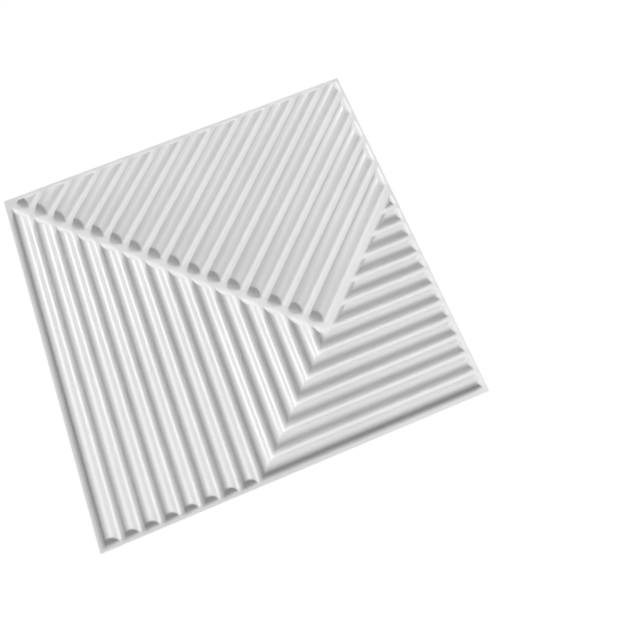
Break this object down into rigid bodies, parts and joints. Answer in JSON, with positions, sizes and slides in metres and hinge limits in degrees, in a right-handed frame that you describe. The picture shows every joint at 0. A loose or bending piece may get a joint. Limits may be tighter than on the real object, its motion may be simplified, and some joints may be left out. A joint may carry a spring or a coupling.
{
  "type": "ribbed wall panel tile",
  "caption": "Square wall panel of thin formed plastic with hollow rounded ribs in upright, level and slanted fields that meet along a diagonal; it is glued to a wall by its flat back.",
  "frame": {"origin": "centre of the square panel, on the flat back that goes against the wall", "axes": "+Z out of the wall, from the back to the ribbed front; +Y along the upright ribs, towards the edge with the slanted ribs; +X along the level ribs, towards the edge that they run to"},
  "size_m": [0.5, 0.5, 0.0115],
  "materials": {
    "white_plastic": "satin white"
  },
  "bodies": {
    "root": {"ribbed_panel": "white_plastic"}
  },
  "joints": []
}
